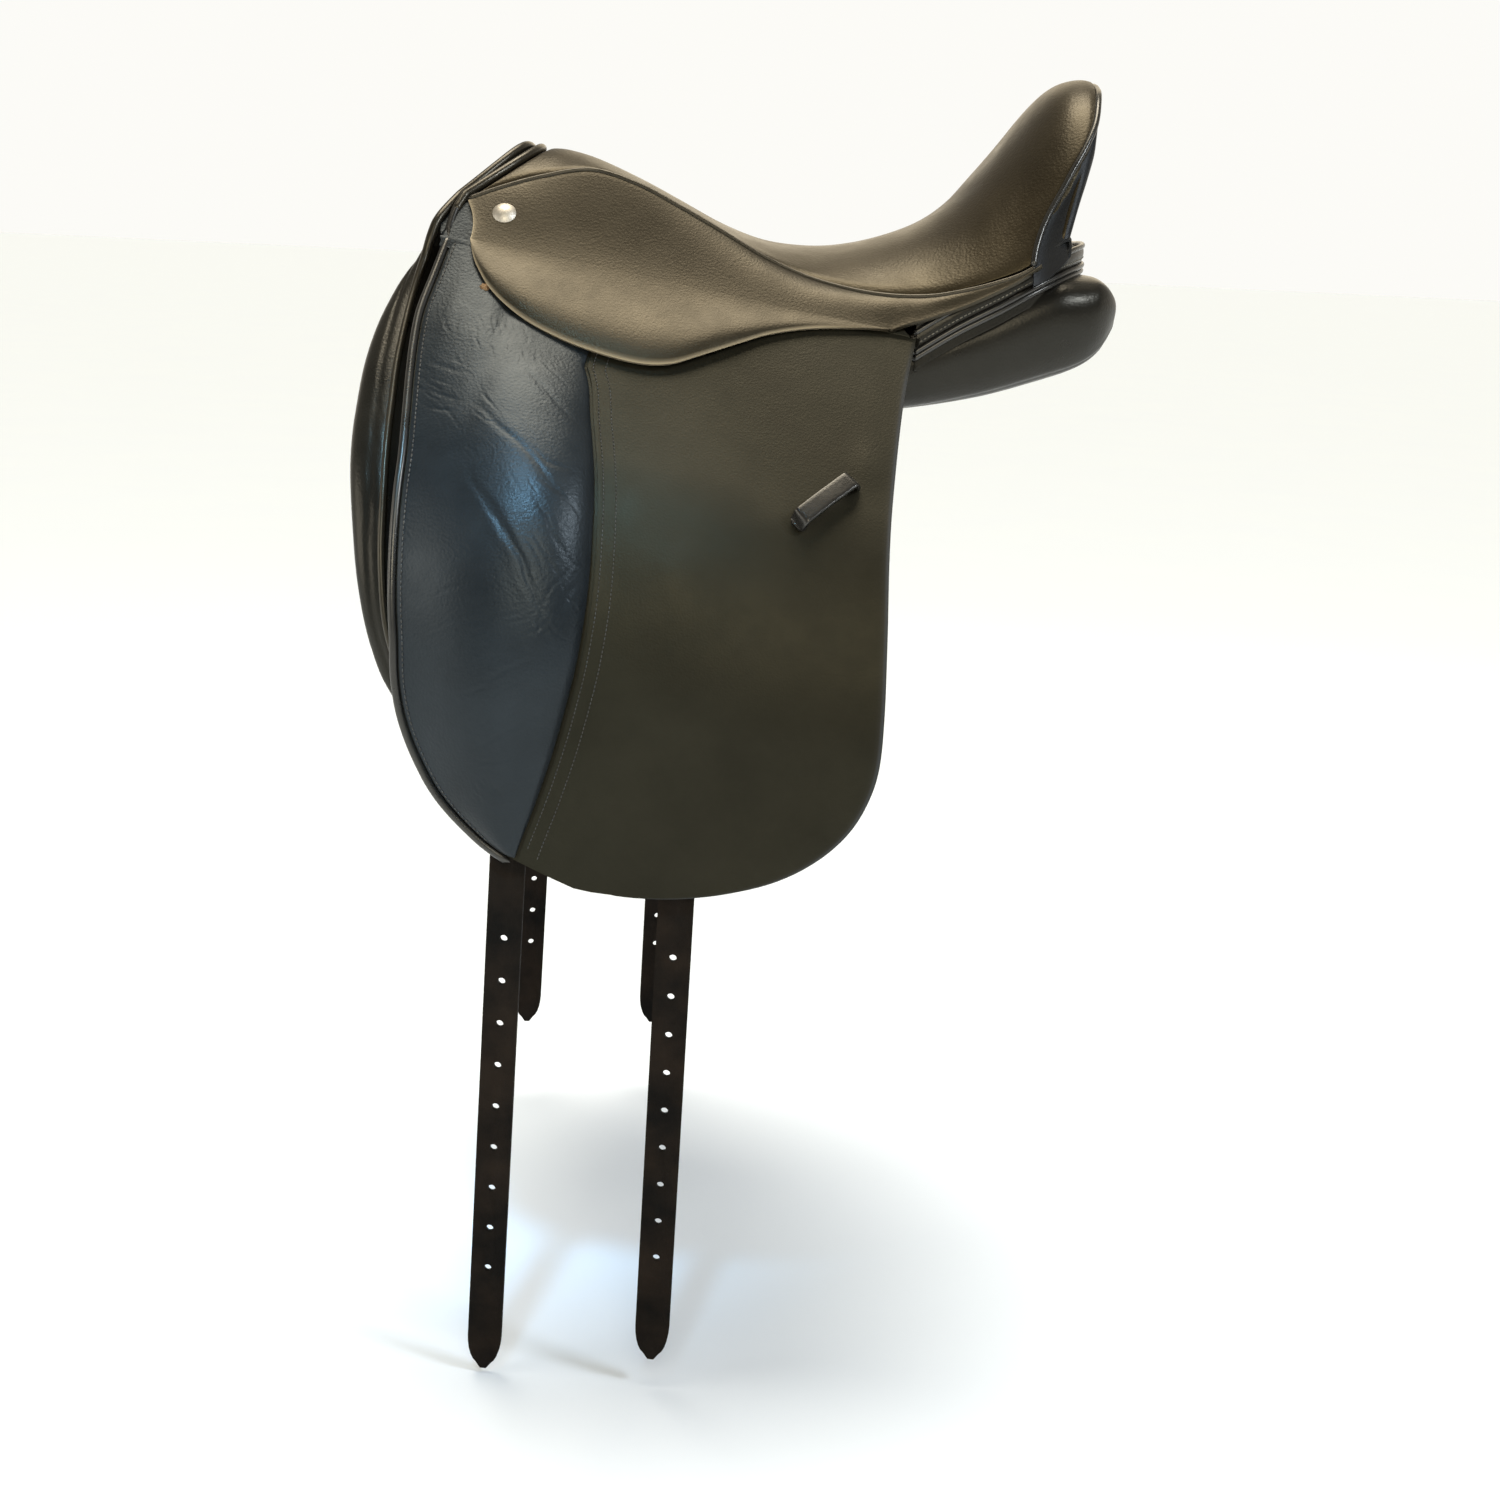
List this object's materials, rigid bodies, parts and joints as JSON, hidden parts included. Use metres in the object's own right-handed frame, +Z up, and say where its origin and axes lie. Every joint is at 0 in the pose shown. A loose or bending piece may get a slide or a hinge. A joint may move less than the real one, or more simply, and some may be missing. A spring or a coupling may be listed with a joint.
{
  "type": "dressage saddle",
  "caption": "English dressage saddle: deep seat on a wooden tree, long straight flaps with knee blocks, lifting skirts over open stirrup bars, wool panels and long girth billets.",
  "frame": {"origin": "mid plane, under the deepest part of the seat, at the level of the panels' lowest line", "axes": "+X to the cantle, +Y to the rider's right, +Z up"},
  "size_m": [0.5312, 0.5832, 0.919],
  "materials": {
    "seat_leather": "smooth grained calf with a waxed sheen",
    "skirt_leather": "smooth waxed hide",
    "flap_leather": "smooth matt hide",
    "block_leather": "soft grained calf with creases",
    "panel_leather": "soft calf over wool flock",
    "piping_leather": "glossy piping",
    "billet_leather": "dark brown bridle hide with worn edges",
    "bar_steel": "forged and polished",
    "stud_metal": "bare domed nail head",
    "beech": "laminated beech",
    "webbing": "woven linen web",
    "foam": "open cell foam"
  },
  "bodies": {
    "root": {"tree": "beech", "gullet_plate": "bar_steel", "left_tree_point": "beech", "right_tree_point": "beech", "bar_rivets": "bar_steel", "left_stirrup_bar": "bar_steel", "right_stirrup_bar": "bar_steel", "catch_pins": "bar_steel", "seat_web_long": "webbing", "seat_web_cross": "webbing", "gullet_lining": "panel_leather", "seat_foam": "foam", "seat_cover": "seat_leather", "left_seat_welt": "piping_leather", "right_seat_welt": "piping_leather", "cantle_back": "flap_leather", "cantle_welt": "piping_leather", "pommel_welts": "piping_leather", "pommel_facing": "flap_leather", "rear_facing": "flap_leather", "left_skirt_band": "skirt_leather", "right_skirt_band": "skirt_leather", "left_stud": "stud_metal", "right_stud": "stud_metal", "left_flap_root": "flap_leather", "right_flap_root": "flap_leather", "left_sweat_flap": "flap_leather", "right_sweat_flap": "flap_leather", "left_point_pocket": "panel_leather", "right_point_pocket": "panel_leather", "left_panel": "panel_leather", "right_panel": "panel_leather", "left_front_roll": "panel_leather", "right_front_roll": "panel_leather", "left_front_web": "webbing", "right_front_web": "webbing", "left_rear_web": "webbing", "right_rear_web": "webbing"},
    "left_flap_body": {"left_flap": "flap_leather", "left_piping": "piping_leather", "left_block_cover": "block_leather", "left_block_foam": "foam", "left_keeper": "flap_leather"},
    "left_skirt_body": {"left_skirt": "skirt_leather"},
    "left_catch_body": {"left_bar_catch": "bar_steel"},
    "left_front_billet_body": {"left_front_billet": "billet_leather"},
    "left_rear_billet_body": {"left_rear_billet": "billet_leather"},
    "right_flap_body": {"right_flap": "flap_leather", "right_piping": "piping_leather", "right_block_cover": "block_leather", "right_block_foam": "foam", "right_keeper": "flap_leather"},
    "right_skirt_body": {"right_skirt": "skirt_leather"},
    "right_catch_body": {"right_bar_catch": "bar_steel"},
    "right_front_billet_body": {"right_front_billet": "billet_leather"},
    "right_rear_billet_body": {"right_rear_billet": "billet_leather"}
  },
  "joints": [
    {"name": "left_flap_lift", "type": "hinge", "parent": "root", "child": "left_flap_body", "pos_m": [-0.243, -0.094, 0.106], "axis": [-0.9784, 0.1313, 0.1594], "range_deg": [0, 70]},
    {"name": "left_skirt_lift", "type": "hinge", "parent": "left_flap_body", "child": "left_skirt_body", "pos_m": [-0.243, -0.094, 0.106], "axis": [-0.9784, 0.1313, 0.1594], "range_deg": [0, 60]},
    {"name": "left_catch_turn", "type": "hinge", "parent": "root", "child": "left_catch_body", "pos_m": [-0.10836, -0.12557, 0.05509], "axis": [0.0069, -0.7507, 0.6606], "range_deg": [0, 55]},
    {"name": "left_front_billet_swing", "type": "hinge", "parent": "root", "child": "left_front_billet_body", "pos_m": [-0.19576, -0.25054, -0.2028], "axis": [0.133, 0.9911, 0], "range_deg": [-5, 15]},
    {"name": "left_rear_billet_swing", "type": "hinge", "parent": "root", "child": "left_rear_billet_body", "pos_m": [-0.08324, -0.26564, -0.22113], "axis": [0.133, 0.9911, 0], "range_deg": [-15, 5]},
    {"name": "right_flap_lift", "type": "hinge", "parent": "root", "child": "right_flap_body", "pos_m": [-0.243, 0.094, 0.106], "axis": [0.9784, 0.1313, -0.1594], "range_deg": [0, 70]},
    {"name": "right_skirt_lift", "type": "hinge", "parent": "right_flap_body", "child": "right_skirt_body", "pos_m": [-0.243, 0.094, 0.106], "axis": [0.9784, 0.1313, -0.1594], "range_deg": [0, 60]},
    {"name": "right_catch_turn", "type": "hinge", "parent": "root", "child": "right_catch_body", "pos_m": [-0.10836, 0.12557, 0.05509], "axis": [-0.0069, -0.7507, -0.6606], "range_deg": [0, 55]},
    {"name": "right_front_billet_swing", "type": "hinge", "parent": "root", "child": "right_front_billet_body", "pos_m": [-0.19576, 0.25054, -0.2028], "axis": [-0.133, 0.9911, 0], "range_deg": [-5, 15]},
    {"name": "right_rear_billet_swing", "type": "hinge", "parent": "root", "child": "right_rear_billet_body", "pos_m": [-0.08324, 0.26564, -0.22113], "axis": [-0.133, 0.9911, 0], "range_deg": [-15, 5]}
  ]
}
